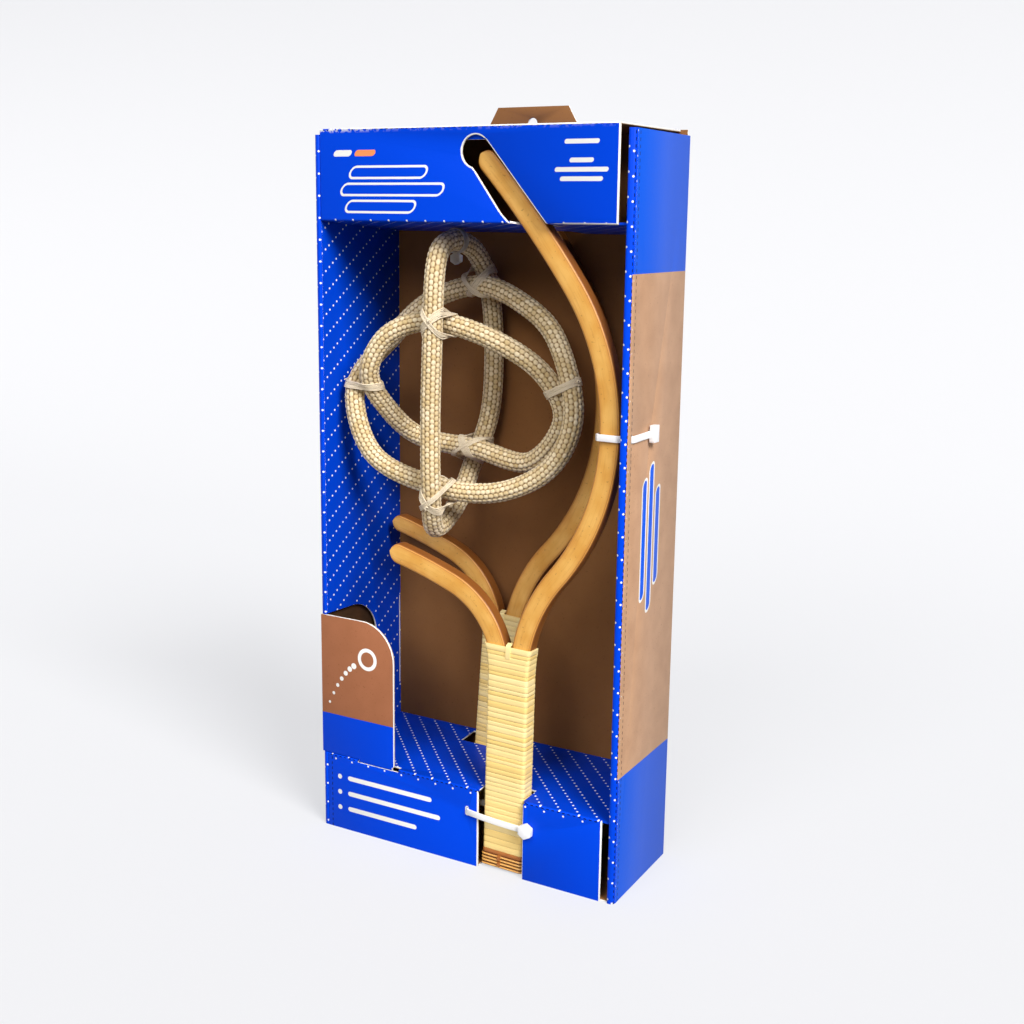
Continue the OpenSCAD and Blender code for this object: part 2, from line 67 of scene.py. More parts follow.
def linear(hex_code):
    """An sRGB hex colour as linear red, green, blue and alpha."""
    parts = [int(hex_code[i:i + 2], 16) / 255 for i in (1, 3, 5)]
    return tuple(c / 12.92 if c <= 0.04045 else ((c + 0.055) / 1.055) ** 2.4 for c in parts) + (1.0,)


def fill(node, inputs):
    """Gives sockets of a node, by order, name or number, a value, a hex colour or another node's output."""
    for socket, value in inputs.items() if isinstance(inputs, dict) else enumerate(inputs):
        if isinstance(value, bpy.types.NodeSocket):
            node.id_data.links.new(value, node.inputs[socket])
        else:
            node.inputs[socket].default_value = linear(value) if isinstance(value, str) else value


def add_node(tree, kind, inputs=(), output=0, **settings):
    """Adds a shader node with its settings and inputs, and gives back one of its outputs. A kind that has an
    operation is followed by it."""
    kind, _, operation = kind.partition(" ")
    made = tree.nodes.new("ShaderNode" + kind)
    if operation:
        made.operation = operation
    for name, value in settings.items():
        setattr(made, name, value)
    fill(made, inputs)
    return made.outputs[output]


def layered(tree, ground, layers):
    """A ground colour with others laid over it in turn, each by a share from none to one, or by a value and
    the range that carries it to a share."""
    for share, colour in layers:
        if isinstance(share, tuple):
            share = add_node(tree, "MapRange", share)
        ground = add_node(tree, "Mix", {0: share, 6: ground, 7: colour}, 2, data_type="RGBA")
    return ground


def new_material(name):
    """An empty material, its node tree and its surface shader."""
    material = bpy.data.materials.new(name)
    material.use_nodes = True
    return material, material.node_tree, material.node_tree.nodes["Principled BSDF"]


def seen_share(tree):
    """One where the camera sees a surface, straight, mirrored or through a clear piece, else none."""
    straight, mirrored, through = (add_node(tree, "LightPath", output=f"Is {ray} Ray")
                                   for ray in ("Camera", "Glossy", "Transmission"))
    seen = add_node(tree, "Math ADD", (straight, mirrored))
    return add_node(tree, "Math MAXIMUM", (seen, through))


def pick_edges(piece, chosen):
    """Selects the edges whose two ends are both chosen, and leaves the piece in edit mode."""
    bpy.ops.object.mode_set(mode="EDIT")
    bpy.ops.mesh.select_mode(type="EDGE")
    bpy.ops.mesh.select_all(action="DESELECT")
    bpy.ops.object.mode_set(mode="OBJECT")
    for edge in piece.data.edges:
        edge.select = all(chosen(piece.data.vertices[i].co) for i in edge.vertices)
    bpy.ops.object.mode_set(mode="EDIT")


scene.view_settings.view_transform = "Standard"
world = bpy.data.worlds.new("studio")
scene.world = world
world.use_nodes = True
tree = world.node_tree
seen = seen_share(tree)
fill(tree.nodes["Background"], {
    "Color": layered(tree, "#FFF3E2", ((seen, "#FAFBFF"),)),
    "Strength": add_node(tree, "MapRange", (seen, 0.0, 1.0, SKY_LIGHT, SKY_GLOW))})

for lamp_name, lamp_from, lamp_spread, lamp_power in (
        ("key_lamp", (0.70, -0.37, 0.61), 25, 4.0),
        ("fill_lamp", (0.05, -0.80, 0.60), 35, 1.6),
        ("back_lamp", (-0.55, 0.70, 0.45), 40, 1.1)):
    lamp_data = bpy.data.lights.new(lamp_name, "SUN")
    lamp_data.angle = math.radians(lamp_spread)
    lamp_data.energy = lamp_power
    lamp = bpy.data.objects.new(lamp_name, lamp_data)
    lamp.rotation_euler = (-Vector(lamp_from)).to_track_quat("-Z", "Y").to_euler()
    scene.collection.objects.link(lamp)

bpy.ops.object.select_all(action="DESELECT")
bpy.ops.mesh.primitive_plane_add(size=PAPER_SIZE, location=(0, -3, 0))
backdrop = bpy.context.active_object
backdrop.name = "paper_sweep"
bpy.ops.object.transform_apply()
pick_edges(backdrop, lambda p: p.y > 1)
bpy.ops.mesh.extrude_region_move(TRANSFORM_OT_translate={"value": (0, 0, PAPER_HEIGHT)})
pick_edges(backdrop, lambda p: p.y > 1 and p.z < 1)
bpy.ops.mesh.bevel(offset=PAPER_BEND, segments=24)
bpy.ops.object.mode_set(mode="OBJECT")
bpy.ops.object.shade_smooth()
paper_sweep, tree, shader = new_material("matt paper sweep")
glow = add_node(tree, "Math MULTIPLY", (seen_share(tree), PAPER_GLOW))
fill(shader, {"Base Color": "#828283", "Roughness": 0.9, "Emission Color": "#FAFBFF",
              "Emission Strength": glow})
backdrop.data.materials.append(paper_sweep)


# Corrugated board: fluted board with a printed white liner outside and plain kraft inside, about 1.6 mm
# thick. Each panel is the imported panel's own outline with its cut edges eased and its folds rounded.
MM = 0.001
BOARD = 1.6
FOLD_ROUND = 1.45
EDGE_ROOM = 0.05
FLUTE_PITCH = 3.2
LINER_SHARE = 0.7
board_blue = "#0042D6"
board_white = "#EDECE8"


def take_up(piece):
    """Puts a new piece in the scene and selects it alone."""
    scene.collection.objects.link(piece)
    bpy.ops.object.select_all(action="DESELECT")
    piece.select_set(True)
    bpy.context.view_layer.objects.active = piece


def merged_copy(node_name, ending):
    """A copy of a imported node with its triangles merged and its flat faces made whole."""
    piece = bpy.data.objects.new(node_name + ending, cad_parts[node_name].data.copy())
    piece.data.materials.clear()
    take_up(piece)
    bpy.ops.object.mode_set(mode="EDIT")
    bpy.ops.mesh.select_all(action="SELECT")
    bpy.ops.mesh.remove_doubles(threshold=1e-6)
    bpy.ops.mesh.dissolve_limited(angle_limit=math.radians(1))
    bpy.ops.object.mode_set(mode="OBJECT")
    return piece


def ease_edges(piece, width, segments, angle):
    """Bevels the edges that turn by more than an angle and shades the piece smooth between the rest."""
    ease = piece.modifiers.new("eased_edges", "BEVEL")
    ease.width = width * MM
    ease.segments = segments
    ease.limit_method = "ANGLE"
    ease.angle_limit = math.radians(angle)
    bpy.ops.object.modifier_apply(modifier=ease.name)
    bpy.ops.object.shade_smooth_by_angle(angle=math.radians(40))


def board_piece(node_name, material, depth_of, u_of=lambda p: p.x, v_of=lambda p: p.z, body="carton",
                thick=BOARD, fold_line=None, fold_zone=None):
    """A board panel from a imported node. depth_of gives millimetres behind its printed face, u_of and v_of lay
    the print out, fold_line picks the edges to round and fold_zone the places where the print runs round."""
    piece = merged_copy(node_name, "_board")
    if fold_line:
        pick_edges(piece, lambda p: fold_line(p / MM))
        bpy.ops.mesh.bevel(offset=FOLD_ROUND * MM, segments=6)
        bpy.ops.object.mode_set(mode="OBJECT")
    ease_edges(piece, width=0.2, segments=2, angle=50)
    depth = piece.data.attributes.new("depth", "FLOAT", "POINT")
    for vertex in piece.data.vertices:
        place = vertex.co / MM
        folded = fold_zone and fold_zone(place)
        depth.data[vertex.index].value = 0.0 if folded else depth_of(place) / thick
    sheet = piece.data.uv_layers.new(name="sheet")
    for loop in piece.data.loops:
        place = piece.data.vertices[loop.vertex_index].co / MM
        sheet.data[loop.index].uv = (u_of(place), v_of(place))
    piece.data.materials.append(material)
    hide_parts(node_name)
    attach(piece, body)


# Offset printed board: satin ink over a white liner, cloudy kraft with stray dark fibres where it is bare,
# raw fluting on the cut edges and the fluting's faint ribs through the faces.
def board_material(name, printed, kraft_hex="#A6754C", back_hex=None):
    """Board with a print drawn by printed(tree, u, v, kraft), fluted cut edges and a kraft back, or a darker
    back as painted shade.
    """
    material, tree, shader = new_material(name)
    place = add_node(tree, "TexCoord", output="Object")
    sheet = add_node(tree, "UVMap", uv_map="sheet")
    u, v = (add_node(tree, "SeparateXYZ", (sheet,), axis) for axis in "XY")
    depth = add_node(tree, "Attribute", output="Fac", attribute_name="depth")
    pulp, fibre, flutes, tooth = (
        add_node(tree, "TexNoise", {"Vector": place, "Scale": scale, "Detail": detail})
        for scale, detail in ((55.0, 5.0), (700.0, 2.0), (600.0, 3.0), (260.0, 3.0)))
    clouds = (((pulp, 0.3, 0.7, 0.0, 0.22), "#75492B"), ((fibre, 0.66, 0.76, 0.0, 0.4), "#4E3019"))
    kraft, back = (layered(tree, tone, clouds) for tone in (kraft_hex, back_hex or kraft_hex))
    core = layered(tree, "#7B5A3C", ((flutes, "#C9AE8B"),))
    past_face, past_liner, at_back = (add_node(tree, "Math GREATER_THAN", (depth, level))
                                      for level in (0.03, LINER_SHARE, 0.97))
    cut_edge = layered(tree, board_white, ((past_liner, core),))
    colour = layered(tree, printed(tree, u, v, kraft), ((past_face, cut_edge), (at_back, back)))
    satin = add_node(tree, "MapRange", (depth, 0.0, 0.05, 0.36, 0.85))
    ribs = add_node(tree, "Math MULTIPLY", (v, 2 * math.pi / FLUTE_PITCH))
    ribs = add_node(tree, "Math SINE", (ribs,))
    relief = add_node(tree, "Math MULTIPLY_ADD", (ribs, 0.05, tooth))
    bump = add_node(tree, "Bump", {"Height": relief, "Strength": 0.12, "Distance": 0.0004})
    fill(shader, {"Base Color": colour, "Roughness": satin, "IOR": 1.15, "Normal": bump})
    return material


# Side walls: each is one flap rolled over into a double wall that leans in a little towards the back, blue
# with dots inside and on its rolled front edge. The right wall has two slits that the side tie goes through.
HALF_WIDTH = 131.0
INNER_FACE = 125.5
FRONT_FACE = -48.0
FRONT_BACK = -46.4
BACK_FACE = 48.0
WALL_LEAN = 4.5
ROLL = 3.8
ROLL_AXIS = -44.2
DOT_ROW = 15.9
DOT_RADIUS = 0.75
WALL_DOTS = 184.3
TAB_CUT = (91.5, 133.5)
TAB_CUT_HALF = (0.6, 38.0)
DASH_HALF = 0.36
DASH_PITCH = 4.394
STRIP_DOTS = 3.55
STRIP_KRAFT = -5.7
BAND_TOP = 447.0
BAND_BOTTOM = 95.0
OUTER_KRAFT = "#C49A79"
fold_dark = "#06163C"


def spot_share(tree, offsets, radius, blur):
    """Share of ink in a round spot, from the two distances to its middle."""
    spot = add_node(tree, "CombineXYZ", offsets)
    reach = add_node(tree, "VectorMath LENGTH", (spot,), "Value")
    return add_node(tree, "MapRange", (reach, radius + blur, radius - blur))


def dotted(tree, u, v, step_u, step_v):
    """Share of white in a print of small dots, whose rows slant by one step each way."""
    column = add_node(tree, "Math DIVIDE", (u, step_u))
    column = add_node(tree, "Math ROUND", (column,))
    across = add_node(tree, "Math MULTIPLY_ADD", (column, -step_u, u))
    along = add_node(tree, "Math MULTIPLY_ADD", (column, -step_v, v))
    along = add_node(tree, "Math PINGPONG", (along, DOT_ROW / 2))
    return spot_share(tree, (across, along), DOT_RADIUS, 0.15)


def rounded_bar(tree, u, v, middle, half, slant=0.0):
    """Share of ink in one bar with round ends, sheared to the right by slant."""
    end = min(half)
    v_off = add_node(tree, "Math SUBTRACT", (v, middle[1]))
    u_off = add_node(tree, "Math SUBTRACT", (u, middle[0]))
    u_off = add_node(tree, "Math MULTIPLY_ADD", (v_off, -slant, u_off))
    past_ends = []
    for off, size in ((u_off, half[0]), (v_off, half[1])):
        off = add_node(tree, "Math ABSOLUTE", (off,))
        off = add_node(tree, "Math SUBTRACT", (off, size - end))
        past_ends.append(add_node(tree, "Math MAXIMUM", (off, 0.0)))
    return spot_share(tree, past_ends, end, 0.12)


def dashes(tree, across, along, line):
    """Share of dark in a row of fold perforations that runs along the sheet."""
    near = add_node(tree, "Math COMPARE", (across, line, DASH_HALF))
    cut = add_node(tree, "Math MULTIPLY", (along, 2 * math.pi / DASH_PITCH))
    cut = add_node(tree, "Math SINE", (cut,))
    cut = add_node(tree, "Math GREATER_THAN", (cut, 0.0))
    return add_node(tree, "Math MULTIPLY", (near, cut))


def lean(place, front):
    """How far a side board that starts at front has leaned in at a place."""
    return WALL_LEAN * (place.y - front) / (BACK_FACE - front)


def round_roll(place):
    """Distance over the rolled edge from its inner fold."""
    flat = HALF_WIDTH - ROLL - INNER_FACE
    past = abs(place.x) - (HALF_WIDTH - ROLL)
    return flat + past if past <= 0 else flat + ROLL * math.atan2(past, ROLL_AXIS - place.y)


def band_window(tree, v):
    """Share of bare kraft at a height of the outer walls."""
    middle = (BAND_TOP + BAND_BOTTOM) / 2
    return add_node(tree, "Math COMPARE", (v, middle, BAND_TOP - middle))


def wall_print(tree, u, v, kraft):
    above = add_node(tree, "Math SUBTRACT", (v, WALL_DOTS))
    # Painted shade: the blue inside the walls is darker than the front's.
    return layered(tree, "#003CC0", (
        (dotted(tree, u, above, 4.0, 2.95), board_white),
        (rounded_bar(tree, u, v, TAB_CUT, TAB_CUT_HALF), board_white)))


def strip_print(tree, u, v, kraft):
    past_edge = add_node(tree, "Math LESS_THAN", (u, STRIP_KRAFT))
    bare = add_node(tree, "Math MULTIPLY", (past_edge, band_window(tree, v)))
    aside = add_node(tree, "Math ADD", (u, 0.8))
    above = add_node(tree, "Math SUBTRACT", (v, STRIP_DOTS))
    return layered(tree, board_blue, (
        (bare, kraft),
        (dashes(tree, u, v, STRIP_KRAFT + 0.2), fold_dark),
        (dotted(tree, aside, above, 3.5, 2.95), board_white)))


wall_inside = board_material("printed board, dots on blue", wall_print)
rolled_edge = board_material("printed board, rolled edge", strip_print, OUTER_KRAFT)
for wall in ("left", "right"):
    board_piece(wall + "_inner_wall", wall_inside, lambda p: abs(p.x) - INNER_FACE + lean(p, FRONT_BACK),
                lambda p: p.y - FRONT_BACK)
    board_piece(wall + "_edge_strip", rolled_edge, lambda p: 0.0, lambda p: -round_roll(p),
                fold_line=lambda p: p.y < FRONT_FACE + EDGE_ROOM and abs(p.x) < INNER_FACE + EDGE_ROOM)


# Outer side boards: blue at top and bottom, lighter than the front's blue as a painted sheen, and bare kraft
# between, with a row of perforations beside the roll. A plain panel with three bars is printed upright on the
# kraft.
OUTER_DASH = -40.6
PANEL_MIDDLE = 262.0
BAR_HALF = 4.8
BAR_RIM = 1.6
BAR_SLANT = 0.5
# A lighter blue than the front's: painted sheen.
sheen_painted_blue = "#0456D8"


def outlined_bar(tree, u, v, middle, length, ink):
    """The two layers of a slanting bar of ink with a white rim."""
    return [(rounded_bar(tree, u, v, middle, (length - rim, BAR_HALF - rim), BAR_SLANT), colour)
            for rim, colour in ((0.0, board_white), (BAR_RIM, ink))]


def banded(tree, u, v, kraft):
    """Blue at top and bottom, lighter as a painted sheen, and bare kraft between."""
    return layered(tree, sheen_painted_blue, ((band_window(tree, v), kraft),))


def side_print(tree, u, v, kraft):
    layers = [(dashes(tree, u, v, OUTER_DASH), "#221812")]
    for across, length in ((-14.0, 44.0), (-2.0, 54.0), (10.0, 36.0)):
        layers += outlined_bar(tree, v, u, (PANEL_MIDDLE, across), length, sheen_painted_blue)
    return layered(tree, banded(tree, u, v, kraft), layers)


# Painted shade: the outer walls' inner faces, shut inside the double wall, are near black.
wall_outside = board_material("printed board, blue and kraft bands", side_print, OUTER_KRAFT, "#3B2A1D")
for wall in ("left", "right"):
    board_piece(wall + "_outer_wall", wall_outside, lambda p: HALF_WIDTH - lean(p, ROLL_AXIS) - abs(p.x),
                lambda p: p.y)


# Back and bottom: the sheet's plain kraft side shows inside and on the hang tab, in a darker kraft that paints
# the shade inside the carton; the outside carries the same bands as the walls. The hang tab stands above the
# lid and has a punched round hole.
# Painted shade: the inner face is a darker kraft than the board elsewhere.
kraft_inside = board_material("kraft board, banded outside", banded, OUTER_KRAFT, "#885D37")
board_piece("back_panel", kraft_inside, lambda p: BACK_FACE - p.y)
board_piece("bottom_panel", kraft_inside, lambda p: p.z, v_of=lambda p: p.y)


# Base tray: a front in two pieces either side of the grip notch, folded back into a dotted deck that rises to
# the back, with holes for the rear grip and the flap. Perforations and the last dots run along the fold.
BASE_TOP = 61.8
DECK_SLOPE = 6.5 / 92.8
DOT_STEP = 3.58
DOT_CORNER = 117.1
NOTCH_LEFT = 16.0
NOTCH_RIGHT = 55.0
BASE_END = 119.8
LEFT_DASH = -121.5
TIE_SLIT = (6.5, 43.2)
LIST_LEFT = -106.0


def deck_print(tree, u, v, kraft):
    # Painted shade: the deck and the header floor are a darker blue than the front.
    return layered(tree, "#0039BC", ((dotted(tree, u, v, DOT_STEP, -DOT_STEP), board_white),))


def base_print(tree, u, v, kraft):
    past_fold = add_node(tree, "Math SUBTRACT", (v, BASE_TOP))
    aside = add_node(tree, "Math SUBTRACT", (u, DOT_CORNER))
    near_fold = add_node(tree, "Math GREATER_THAN", (past_fold, -4.6))
    dots = dotted(tree, past_fold, aside, DOT_STEP, -DOT_STEP)
    layers = [(dashes(tree, past_fold, u, -1.2), fold_dark), (dashes(tree, u, v, LEFT_DASH), fold_dark)]
    white = [add_node(tree, "Math MULTIPLY", (dots, near_fold))]
    white += [add_node(tree, "Math COMPARE", (u, rim_at, rim_half))
              for rim_at, rim_half in ((NOTCH_LEFT, 0.8), (NOTCH_RIGHT, 0.35), (BASE_END, 0.7))]
    white.append(rounded_bar(tree, u, v, TIE_SLIT, (1.7, 3.7)))
    for line, length in ((44.0, 40.0), (31.0, 44.0), (18.0, 33.0)):
        white.append(rounded_bar(tree, u, v, (LIST_LEFT - 8.0, line), (2.0, 2.0)))
        white.append(rounded_bar(tree, u, v, (LIST_LEFT + length, line), (length, 1.9)))
    return layered(tree, board_blue, layers + [(share, board_white) for share in white])


dotted_deck = board_material("printed board, dots across", deck_print)
board_piece("base_deck", dotted_deck, lambda p: BASE_TOP + DECK_SLOPE * (p.y - FRONT_BACK) - p.z,
            lambda p: p.y - FRONT_BACK, lambda p: p.x - DOT_CORNER,
            fold_zone=lambda p: p.y < FRONT_BACK + 1.0)
base_front = board_material("printed board, base front", base_print)
for half in ("left", "right"):
    board_piece("base_front_" + half, base_front, lambda p: p.y - FRONT_FACE,
                fold_line=lambda p: p.y < FRONT_FACE + EDGE_ROOM and p.z > BASE_TOP - EDGE_ROOM,
                fold_zone=lambda p: p.z > BASE_TOP - BOARD or p.x < -INNER_FACE + 0.5)


# Header: the closed box along the carton's top, with a slanting window for the front arm, a dotted floor
# that slopes to the back, and a lid that folds from the back panel and tucks behind the front.
HEADER_TOP = 544.0
HEADER_BOTTOM = 478.5
FLOOR_SLOPE = 7.0 / 92.8
WINDOW_END = (9.5, 526.7)
WINDOW_ROUND = 11.0
WINDOW_EDGES = (((-1.5, 524.7), (9.4, 513.0)), ((9.4, 513.0), (30.0, 485.5)), ((30.0, 485.5), (38.0, 477.5)),
                ((67.0, 477.5), (17.6, 535.0)))
WINDOW_RIM = 0.9
TUCK_FACE = -45.7
MARK_ROW = 526.5
NOTE_MIDDLE = 92.0


def scuffs(tree, amount):
    """Share of white where the print has rubbed off in ragged flecks."""
    place = add_node(tree, "TexCoord", output="Object")
    ragged = add_node(tree, "TexNoise", {"Vector": place, "Scale": 300.0, "Detail": 6.0})
    ragged = add_node(tree, "MapRange", (ragged, 0.5, 0.54))
    return add_node(tree, "Math MULTIPLY", (amount, ragged))


def header_print(tree, u, v, kraft):
    above = add_node(tree, "Math SUBTRACT", (v, HEADER_BOTTOM))
    below = add_node(tree, "Math SUBTRACT", (0.8, above))
    near_fold = add_node(tree, "Math LESS_THAN", (above, 2.2))
    dots = dotted(tree, below, u, DOT_STEP, DOT_STEP)
    layers = [(add_node(tree, "Math MULTIPLY", (dots, near_fold)), board_white)]
    for row, left, right in ((513.0, -98.0, -30.0), (501.0, -106.0, -16.0), (489.0, -102.0, -40.0)):
        layers += outlined_bar(tree, u, v, ((left + right) / 2, row), (right - left) / 2, board_blue)
    for middle, length, ink in ((-104.0, 8.0, board_white), (-84.0, 9.0, "#F2915A")):
        layers.append((rounded_bar(tree, u, v, (middle, MARK_ROW), (length, 2.2), BAR_SLANT), ink))
    white = [rounded_bar(tree, u, v, (NOTE_MIDDLE, row), (length, 1.5), 0.2)
             for row, length in ((532.0, 13.0), (520.0, 9.0), (514.0, 20.0), (508.0, 16.0))]
    reach = WINDOW_ROUND + WINDOW_RIM
    white.append(rounded_bar(tree, u, v, WINDOW_END, (reach, reach)))
    for (u_from, v_from), (u_to, v_to) in WINDOW_EDGES:
        middle = ((u_from + u_to) / 2, (v_from + v_to) / 2)
        half = (WINDOW_RIM, abs(v_to - v_from) / 2)
        white.append(rounded_bar(tree, u, v, middle, half, (u_to - u_from) / (v_to - v_from)))
    layers += [(share, board_white) for share in white]
    top = add_node(tree, "MapRange", (v, HEADER_TOP - 3.4, HEADER_TOP - 0.6))
    corner = add_node(tree, "MapRange", (u, -60.0, -122.0, 0.15, 1.0))
    worn = add_node(tree, "Math MULTIPLY", (top, corner))
    layers += [(dashes(tree, v, u, HEADER_TOP - 1.0), fold_dark), (scuffs(tree, worn), board_white)]
    return layered(tree, board_blue, layers)


def lid_print(tree, u, v, kraft):
    aside = add_node(tree, "Math ABSOLUTE", (u,))
    worn = add_node(tree, "MapRange", (aside, 123.0, 127.0, 0.0, 0.8))
    return layered(tree, board_blue, ((scuffs(tree, worn), board_white),))


def near_ends(place, room):
    """Whether a place is within a distance of the header's top or bottom fold."""
    return place.z > HEADER_TOP - room or place.z < HEADER_BOTTOM + room


header_front = board_material("printed board, header front", header_print)
board_piece("header_front", header_front, lambda p: p.y - FRONT_FACE,
            fold_line=lambda p: p.y < FRONT_FACE + EDGE_ROOM and near_ends(p, EDGE_ROOM),
            fold_zone=lambda p: p.x < -INNER_FACE + 0.5 or p.x < 118.0 and near_ends(p, BOARD))
board_piece("header_floor", dotted_deck, lambda p: p.z - HEADER_BOTTOM + FLOOR_SLOPE * (p.y - FRONT_BACK),
            lambda p: p.y - FRONT_BACK, lambda p: p.x - DOT_CORNER,
            fold_zone=lambda p: p.y < FRONT_BACK + 1.0)
plain_blue = board_material("printed board, plain blue", lid_print)
board_piece("lid_panel", plain_blue, lambda p: HEADER_TOP - p.z, v_of=lambda p: p.y, body="lid")
board_piece("lid_tuck_flap", plain_blue, lambda p: p.y - TUCK_FACE, body="lid")


# Info flap: a tongue of two layers cut out of the left wall and folded across the front, kraft with a blue
# foot that stands in the slot of the deck. It shows a plain ring in flight with a trail of dots.
FLAP_BLUE = 95.5
FLAP_THICK = 2.4
FLAP_RING = (-86.0, 146.0)
TRAIL_START = (-123.0, 105.0)


def flap_print(tree, u, v, kraft):
    foot = add_node(tree, "Math LESS_THAN", (v, FLAP_BLUE))
    outer, inner = (rounded_bar(tree, u, v, FLAP_RING, (size, size)) for size in (9.0, 6.0))
    white = [add_node(tree, "Math SUBTRACT", (outer, inner))]
    for step in range(7):
        spot = (TRAIL_START[0] + 4.0 * step, TRAIL_START[1] + 8.6 * step - 0.5 * step * step)
        size = 1.1 + 0.22 * step
        white.append(rounded_bar(tree, u, v, spot, (size, size)))
    return layered(tree, kraft, [(foot, board_blue)] + [(share, board_white) for share in white])


flap_board = board_material("printed board, flap", flap_print, "#A26849")
board_piece("info_flap", flap_board, lambda p: p.y - FRONT_FACE, body="flap",
            thick=FLAP_THICK)


# Throwers: each is two rattan canes, split flat and bent by steam, set side by side at the grip. The long
# arm sweeps out and back over the top, the short arm curls off to the left. Their edges are nearly square.
CANE_WIDTH = 15.6
CANE_THICK = 11.0
CANE_ROUND = 1.6
CANE_CROWN = 0.08
CANE_SIDE = 7.9
CANE_GIRTH = 46
CANE_STEP = 3.0
TAPER_FROM = 170.0
TIP_STEPS = 10
TIP_LEAST = 0.4
PORE_WIDTH = 0.6
LONG_BENDS = ((151.8, 0), (127, 39), (168, -75), (700, -8.8))
SHORT_BENDS = ((152.8, 0), (66, -69.5), (400, -7.3))
REAR_SHORT_BENDS = ((152.8, 0), (66, -72), (400, -7.3))
THROWERS = {
    "front": (Vector((35, -37.2, 1.4)), 1.0),
    "rear": (Vector((-20.5, 31.9, 3.2)), 3.8),
}


def heading(turn):
    """The direction of a cane that leans from upright by a turn."""
    return Vector((math.sin(turn), math.cos(turn)))


def rightward(turn):
    """The direction across a cane that leans from upright by a turn."""
    return Vector((math.cos(turn), -math.sin(turn)))


def bent_place(start, turn, size, bend, share):
    """A place along one straight or curved stretch of cane."""
    if bend == 0:
        return start + heading(turn) * size * share
    side = math.copysign(1, bend)
    centre = start + side * size * rightward(turn)
    return centre - side * size * rightward(turn + math.radians(bend) * share)


def cane_path(bends, start_x):
    """Middle line of a bent cane in its own frame, as (point, direction angle, length so far)."""
    place, turn, run = Vector((start_x, 0.0)), 0.0, 0.0
    path = []
    for size, bend in bends:
        length = size if bend == 0 else size * math.radians(abs(bend))
        count = max(2, round(length / CANE_STEP))
        for k in range(count):
            share = k / count
            angle = turn + math.radians(bend) * share
            path.append((bent_place(place, turn, size, bend, share), angle, run + length * share))
        place = bent_place(place, turn, size, bend, 1.0)
        turn += math.radians(bend)
        run += length
    path.append((place, turn, run))
    return path


def rounded_outline(half_w, half_t, corner, steps):
    """Points and outward directions round a rounded rectangle, corner by corner."""
    made = []
    for quarter, (sx, sy) in enumerate(((1, 1), (-1, 1), (-1, -1), (1, -1))):
        for k in range(steps + 1):
            turn = math.radians(90 * (quarter + k / steps))
            out = Vector((math.cos(turn), math.sin(turn)))
            made.append((Vector((sx * (half_w - corner), sy * (half_t - corner))) + out * corner, out))
    return made


def stepped(outline):
    """The same outline with more points along its four straight sides."""
    made = []
    corner = len(outline) // 4
    for number, ((point, out), (after, after_out)) in enumerate(zip(outline, outline[1:] + outline[:1])):
        parts = 6 if number % corner == corner - 1 else 1
        for k in range(parts):
            share = k / parts
            made.append((point.lerp(after, share), out.lerp(after_out, share).normalized()))
    return made


def swept_mesh(name, sections, closed=False, uvs=None, layers=None):
    """A mesh through a list of sections of equal length, with a UV pair and named numbers for each point."""
    count = len(sections[0])
    rows = len(sections)
    points = [point for section in sections for point in section]
    faces = []
    for i in range(rows if closed else rows - 1):
        for j in range(count):
            k = (j + 1) % count
            n = (i + 1) % rows
            faces.append((i * count + j, i * count + k, n * count + k, n * count + j))
    if not closed:
        faces.append(tuple(range(count - 1, -1, -1)))
        faces.append(tuple((rows - 1) * count + j for j in range(count)))
    mesh = bpy.data.meshes.new(name)
    mesh.from_pydata([tuple(point) for point in points], [], faces)
    for layer, values in (layers or {}).items():
        mesh.attributes.new(layer, "FLOAT", "POINT").data.foreach_set("value", values)
    if uvs:
        layer = mesh.uv_layers.new(name="run")
        for polygon in mesh.polygons:
            columns = [mesh.loops[i].vertex_index % count for i in polygon.loop_indices]
            wraps = len(columns) == 4 and max(columns) - min(columns) > 1
            for i, column in zip(polygon.loop_indices, columns):
                u, v = uvs[mesh.loops[i].vertex_index]
                layer.data[i].uv = (u + 1.0 if wraps and column == 0 else u, v)
    mesh.update()
    piece = bpy.data.objects.new(name, mesh)
    take_up(piece)
    bpy.ops.object.mode_set(mode="EDIT")
    bpy.ops.mesh.select_all(action="SELECT")
    bpy.ops.mesh.normals_make_consistent(inside=False)
    bpy.ops.object.mode_set(mode="OBJECT")
    bpy.ops.object.shade_smooth_by_angle(angle=math.radians(50))
    return piece


def thrower_place(which, point):
    """A point of a thrower's own frame, in millimetres, put in its place in metres."""
    foot, lean = THROWERS[which]
    turned = Matrix.Rotation(math.radians(lean), 3, "Y") @ Vector(point)
    return (foot + turned) * MM


def cane(which, arm, bends, start_x, taper=0.0):
    """One cane of a thrower, thinned by a share of its width towards its round tip."""
    path = cane_path(bends, start_x)
    end, end_turn, total = path[-1]
    tip = CANE_WIDTH / 2 * (1 - taper)
    for k in range(1, TIP_STEPS + 1):
        ahead = tip * math.sin(math.radians(90 * k / TIP_STEPS))
        path.append((end + heading(end_turn) * ahead, end_turn, total + ahead))
    sections, uvs, flank, edge = [], [], [], []
    for place, turn, run in path:
        over = max(0.0, run - total)
        width = CANE_WIDTH / 2 * (1 - taper * min(1.0, max(0.0, run - TAPER_FROM) / (total - TAPER_FROM)))
        if over > 0:
            width = math.sqrt(max(tip * tip - over * over, TIP_LEAST ** 2))
        outline = stepped(rounded_outline(width, CANE_THICK / 2, min(CANE_ROUND, width * 0.95), 6))
        section = []
        for index, (point, out) in enumerate(outline):
            share = abs(point.x) / width
            across = rightward(turn) * point.x
            thick = point.y * (1 - CANE_CROWN * share ** 2)
            section.append(thrower_place(which, (place.x + across.x, thick, place.y + across.y)))
            uvs.append((index / len(outline), run))
            flank.append(abs(out.x))
            edge.append(share)
        sections.append(section)
    piece = swept_mesh(f"{which}_{arm}_cane", sections, uvs=uvs, layers={"flank": flank, "edge": edge})
    piece.data.materials.append(steamed_cane)
    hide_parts(f"{which}_{arm}")
    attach(piece, f"{which}_thrower")
